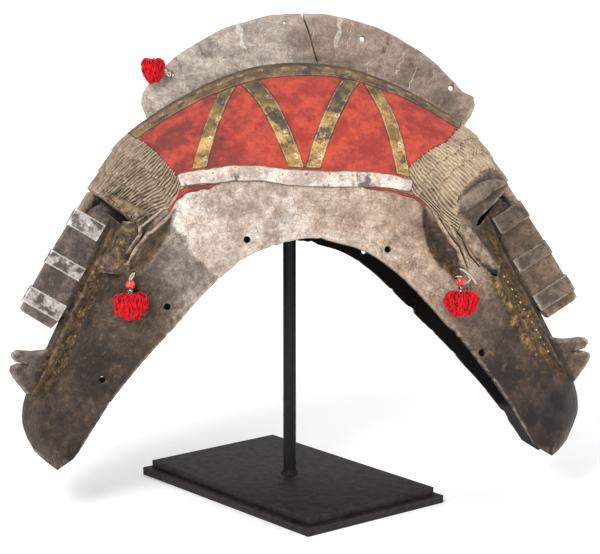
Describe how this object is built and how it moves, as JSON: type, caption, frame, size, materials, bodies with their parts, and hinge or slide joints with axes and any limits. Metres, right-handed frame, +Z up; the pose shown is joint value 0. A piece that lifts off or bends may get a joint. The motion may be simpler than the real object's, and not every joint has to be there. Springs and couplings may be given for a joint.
{
  "type": "dogon mask",
  "caption": "Carved wooden saddle-shaped helmet mask with a long-nosed face at each end, cloth-covered dome and crest plank, standing on a rod and stepped base.",
  "frame": {"origin": "middle of the underside of the stand's base, below the rod", "axes": "+Z up, +X along the arch from one face to the other, +Y away from the side with the tassels"},
  "size_m": [0.58, 0.3234, 0.48],
  "materials": {
    "carved_wood": "old hand-carved wood, worn taupe on the walls, darker and crusted in the faces",
    "red_cloth": "faded red cotton, glued flat",
    "printed_cloth": "ochre and dark printed cotton strips, soiled",
    "pale_cloth": "pale printed cotton strip, soiled",
    "sheet_metal": "thin tarnished sheet metal",
    "cord": "undyed twisted cotton cord",
    "red_bead": "smooth red bead",
    "metal_bead": "dark and silvery metal bead",
    "red_wool": "bright red wool yarn",
    "black_steel": "satin black paint, rubbed at the edges"
  },
  "bodies": {
    "root": {"mask": "carved_wood", "red_cloth_near": "red_cloth", "lower_border_near": "pale_cloth", "upper_border_near": "printed_cloth", "strip_near_1": "printed_cloth", "strip_near_2": "printed_cloth", "strip_near_3": "printed_cloth", "strip_near_4": "printed_cloth", "red_cloth_far": "red_cloth", "lower_border_far": "pale_cloth", "upper_border_far": "printed_cloth", "strip_far_1": "printed_cloth", "strip_far_2": "printed_cloth", "strip_far_3": "printed_cloth", "strip_far_4": "printed_cloth", "nose_band_left_1": "sheet_metal", "nose_band_left_2": "sheet_metal", "nose_band_left_3": "sheet_metal", "nose_band_right_1": "sheet_metal", "nose_band_right_2": "sheet_metal", "nose_band_right_3": "sheet_metal", "cord_left": "cord", "red_bead_left": "red_bead", "metal_bead_left": "metal_bead", "pompom_left": "red_wool", "cord_right": "cord", "red_bead_right": "red_bead", "metal_bead_right": "metal_bead", "pompom_right": "red_wool", "cord_crest": "cord", "pompom_crest": "red_wool", "rod": "black_steel", "base_upper": "black_steel", "base_lower": "black_steel"}
  },
  "joints": []
}
